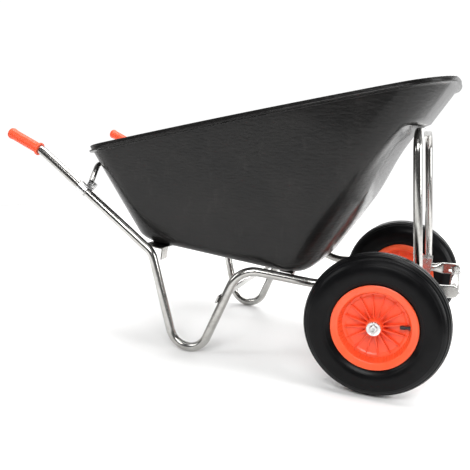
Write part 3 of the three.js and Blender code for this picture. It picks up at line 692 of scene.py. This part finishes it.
def makeValve(bm):
    angle = math.radians(6)
    out = Vector((math.cos(angle), 0, math.sin(angle)))
    foot = wheelCentre["right"] + Vector((0, -0.016, 0))
    stem = rounded([(0, 0.0995), (0.0062, 0.0995), (0.0062, 0.092, 0.001), (0.0046, 0.088, 0.001),
                    (0.0042, 0.079), (0.0034, 0.079), (0, 0.079)])
    turnProfile(bm, stem, foot, out, 24, closed=False)
    cap = rounded([(0, 0.0662), (0.0040, 0.0662, 0.001), (0.0052, 0.0685, 0.0006), (0.0052, 0.0800, 0.0006),
                   (0.0036, 0.0806, 0.0004), (0, 0.0800)])
    before = set(bm.verts)
    turnProfile(bm, cap, foot, out, 48, closed=False)
    for v in bm.verts:  # knurling round the cap
        if v in before:
            continue
        arm = v.co - foot
        along = arm.dot(out)
        side = arm - out * along
        if side.length > 0.0048 and 0.0695 < along < 0.079:
            turn = math.atan2(side.y, side.dot(Vector((-out.z, 0, out.x))))
            v.co -= side.normalized() * 0.0004 * (1 if round(turn * 24 / math.pi) % 2 else 0)


makePair("valve", makeValve, finishes["black"], "black_plastic", "wheel_{side}", ["valve_cap_{side}"])


# The turned axle: a chamfered end with a centre drilling, and a collar behind the wheel
def makeAxle():
    bm = bmesh.new()
    half = rounded([
        (0, 0.3868), (0.0026, 0.3882, 0.0004), (0.0042, 0.3905, 0.0004), (0.0088, 0.3910, 0.0006),
        (0.0100, 0.3893, 0.0004), (0.0100, 0.2932), (0.0152, 0.2932, 0.0008), (0.0160, 0.2900, 0.0008),
        (0.0160, 0.2865, 0.0010), (0.0100, 0.2865), (0.0100, 0.0),
    ])
    centre = Vector((axleX, 0, 0.2))
    turnProfile(bm, [*half, *mirrored(half)[1:]], centre, steps=40, closed=False)
    finishPiece(bm, "axle", finishes["zinc"], "zinc_plate", "frame", ["axle"])


def makeWasher(bm):
    ring = rounded([(0.0104, 0.0446, 0.0003), (0.0190, 0.0446, 0.0006), (0.0190, 0.0472, 0.0007),
                    (0.0104, 0.0472, 0.0004)], closed=True)
    turnProfile(bm, ring, wheelCentre["right"], steps=48)


def makeSplitPin(bm):
    y = -0.3872
    place = Vector((axleX, y, 0.2))
    pin = [(0, -0.0155), (0.0012, -0.0155), (0.0016, -0.0148), (0.0016, 0.0120), (0, 0.0120)]
    turnProfile(bm, pin, place, (0, 0, 1), 16, closed=False)
    turns = [step * math.pi / 6 for step in range(12)]
    eye = [(0.0024 + 0.0012 * math.cos(turn), 0.0012 * math.sin(turn)) for turn in turns]
    turnProfile(bm, eye, place + Vector((0, 0, 0.0148)), (0, 1, 0), 24)


def makeBush(bm):
    flange = rounded([(0.01035, 0.022), (0.0130, 0.022), (0.0130, 0.0423), (0.0180, 0.0423, 0.0004),
                      (0.0180, 0.0441, 0.0005), (0.01035, 0.0441, 0.0003)], closed=True)
    turnProfile(bm, flange, wheelCentre["right"], steps=48)


makeAxle()
makePair("axleWasher", makeWasher, finishes["zinc"], "zinc_plate", "frame", ["axle_washer_{side}"])
makePair("splitPin", makeSplitPin, finishes["zinc"], "zinc_plate", "frame", ["split_pin_{side}"])
makePair("hubBush", makeBush, finishes["black"], "black_plastic", "wheel_{side}", ["bush_outer_{side}"])
print("wheels made")


# ---- grips

grip = {"rings": 11, "ringDepth": 0.0007}


def makeGrip(bm):
    end, following = (Vector(corner[:3]) for corner in tubeCorners[:2])
    along = (following - end).normalized()
    profile = rounded([
        (0, -0.0100), (0.0095, -0.0098, 0.003), (0.0160, -0.0055, 0.003), (0.0184, 0.0008, 0.003),
        (0.0176, 0.0065, 0.002), (0.0169, 0.0120, 0.003),
    ])
    for k in range(1, 2 * grip["rings"]):
        along0 = 0.0135 + 0.086 * k / (2 * grip["rings"])
        profile.append((0.0169 - grip["ringDepth"] * (k % 2), along0))
    profile += rounded([
        (0.0169, 0.1000), (0.0172, 0.1045, 0.002), (0.0206, 0.1078, 0.0012), (0.0213, 0.1110, 0.0012),
        (0.0207, 0.1138, 0.001), (0.0146, 0.1140, 0.0006), (0.0145, 0.1000), (0.0145, -0.001), (0, -0.001),
    ])
    turnProfile(bm, profile, end, along, 48, closed=False)


makePair("grip", makeGrip, finishes["grip"], "grip_plastic", "frame", ["grip_{side}"], smoothAngle=50)
print("grips made")


# ---- CAD pieces that are kept take their finish here

keptFinishes = {
    "inner_tube": "tyre", "bush": "black",
    "rear_cross_angle": "tube", "front_cross_angle": "tube", "leg_strap": "tube",
}
for name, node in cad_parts.items():
    key = next((start for start in keptFinishes if name.startswith(start)), None)
    material = finishes[keptFinishes[key]] if key else finishes["zinc"]
    node.data.materials.clear()
    node.data.materials.append(material)
print("kept pieces finished")


# ---- floor, lights and camera

def makeFloor():
    bm = bmesh.new()
    place = Matrix.Translation((-0.35, 0.45, -0.0005))
    bmesh.ops.create_circle(bm, cap_ends=True, segments=96, radius=2.5, matrix=place)
    mesh = bpy.data.meshes.new("floor")
    bm.to_mesh(mesh)
    bm.free()
    floor = bpy.data.objects.new("floor", mesh)
    finish = Finish("pale floor", Metallic=0.0)
    mottle = finish.noise(1.2, 2)
    colour = finish.mix(mottle, rgb(0.90, 0.90, 0.895), rgb(0.93, 0.93, 0.925))
    mesh.materials.append(finish.set(Base_Color=colour, Roughness=0.55 + 0.1 * mottle))
    bpy.context.scene.collection.objects.link(floor)


def addLight(name, place, target, size, power, colour=(1, 1, 1)):
    light = bpy.data.lights.new(name, "AREA")
    light.shape = "RECTANGLE"
    light.size, light.size_y = size
    light.energy = power
    light.color = colour
    lamp = bpy.data.objects.new(name, light)
    lamp.location = place
    lamp.rotation_euler = (Vector(target) - Vector(place)).to_track_quat("-Z", "Y").to_euler()
    bpy.context.scene.collection.objects.link(lamp)


# Bright behind the barrow and darker on the side that it is seen from, so that the metal
# has something to reflect; looked at directly it is an even white
def makeWorld():
    sky = {"dark": 0.06, "bright": 0.95, "from": -0.35, "to": 0.75}
    world = bpy.data.worlds.new("studio")
    world.use_nodes = True
    tree = world.node_tree
    nodes = {}
    for name, kind in (("place", "ShaderNodeTexCoord"), ("split", "ShaderNodeSeparateXYZ"),
                       ("fade", "ShaderNodeMapRange"), ("path", "ShaderNodeLightPath"),
                       ("pick", "ShaderNodeMix")):
        nodes[name] = tree.nodes.new(kind)
    for socket, key in (("From Min", "from"), ("From Max", "to"), ("To Min", "dark"), ("To Max", "bright")):
        nodes["fade"].inputs[socket].default_value = sky[key]
    nodes["pick"].inputs[3].default_value = 1.05
    background = tree.nodes["Background"]
    background.inputs["Color"].default_value = rgb(1, 1, 1)
    tree.links.new(nodes["place"].outputs["Generated"], nodes["split"].inputs[0])
    tree.links.new(nodes["split"].outputs["Y"], nodes["fade"].inputs["Value"])
    tree.links.new(nodes["path"].outputs["Is Camera Ray"], nodes["pick"].inputs[0])
    tree.links.new(nodes["fade"].outputs[0], nodes["pick"].inputs[2])
    tree.links.new(nodes["pick"].outputs[0], background.inputs["Strength"])
    bpy.context.scene.world = world


# A camera level with the tray, a little ahead of the axle and turned back towards the legs
def makeCamera():
    yaw, pitch, roll = -0.333, -0.224, 0.066
    forward = Vector((math.sin(yaw) * math.cos(pitch), math.cos(yaw) * math.cos(pitch), math.sin(pitch)))
    level = Vector((math.cos(yaw), -math.sin(yaw), 0))
    upright = level.cross(forward)
    right = level * math.cos(roll) + upright * math.sin(roll)
    up = upright * math.cos(roll) - level * math.sin(roll)
    data = bpy.data.cameras.new("camera")
    data.sensor_width = 36
    data.lens = 48.255
    data.shift_x = -0.0066
    data.shift_y = 0.0608
    camera = bpy.data.objects.new("camera", data)
    turn = Matrix((right, up, -forward)).transposed().to_4x4()
    camera.matrix_world = Matrix.Translation((axleX + 0.1733, -2.0185, 0.7193)) @ turn
    bpy.context.scene.collection.objects.link(camera)
    bpy.context.scene.camera = camera


bpy.context.scene.view_settings.view_transform = "Standard"
makeFloor()
makeWorld()
addLight("overhead", (axleX - 0.3, 0.2, 3.2), (axleX - 0.3, 0, 0.3), (3.0, 2.0), 115)
addLight("behind", (axleX + 0.2, 3.2, 1.9), (axleX, 0, 0.3), (4.0, 1.6), 100)
addLight("front fill", (axleX + 0.3, -3.2, 2.7), (axleX - 0.2, -0.3, 0.3), (2.2, 1.2), 95)
addLight("nose side", (axleX + 2.6, -0.4, 1.2), (axleX, 0, 0.4), (1.0, 1.8), 50)
addLight("handle side", (axleX - 2.8, -2.0, 1.8), (axleX - 0.6, 0, 0.4), (0.8, 1.6), 22)
makeCamera()
print("stage set")
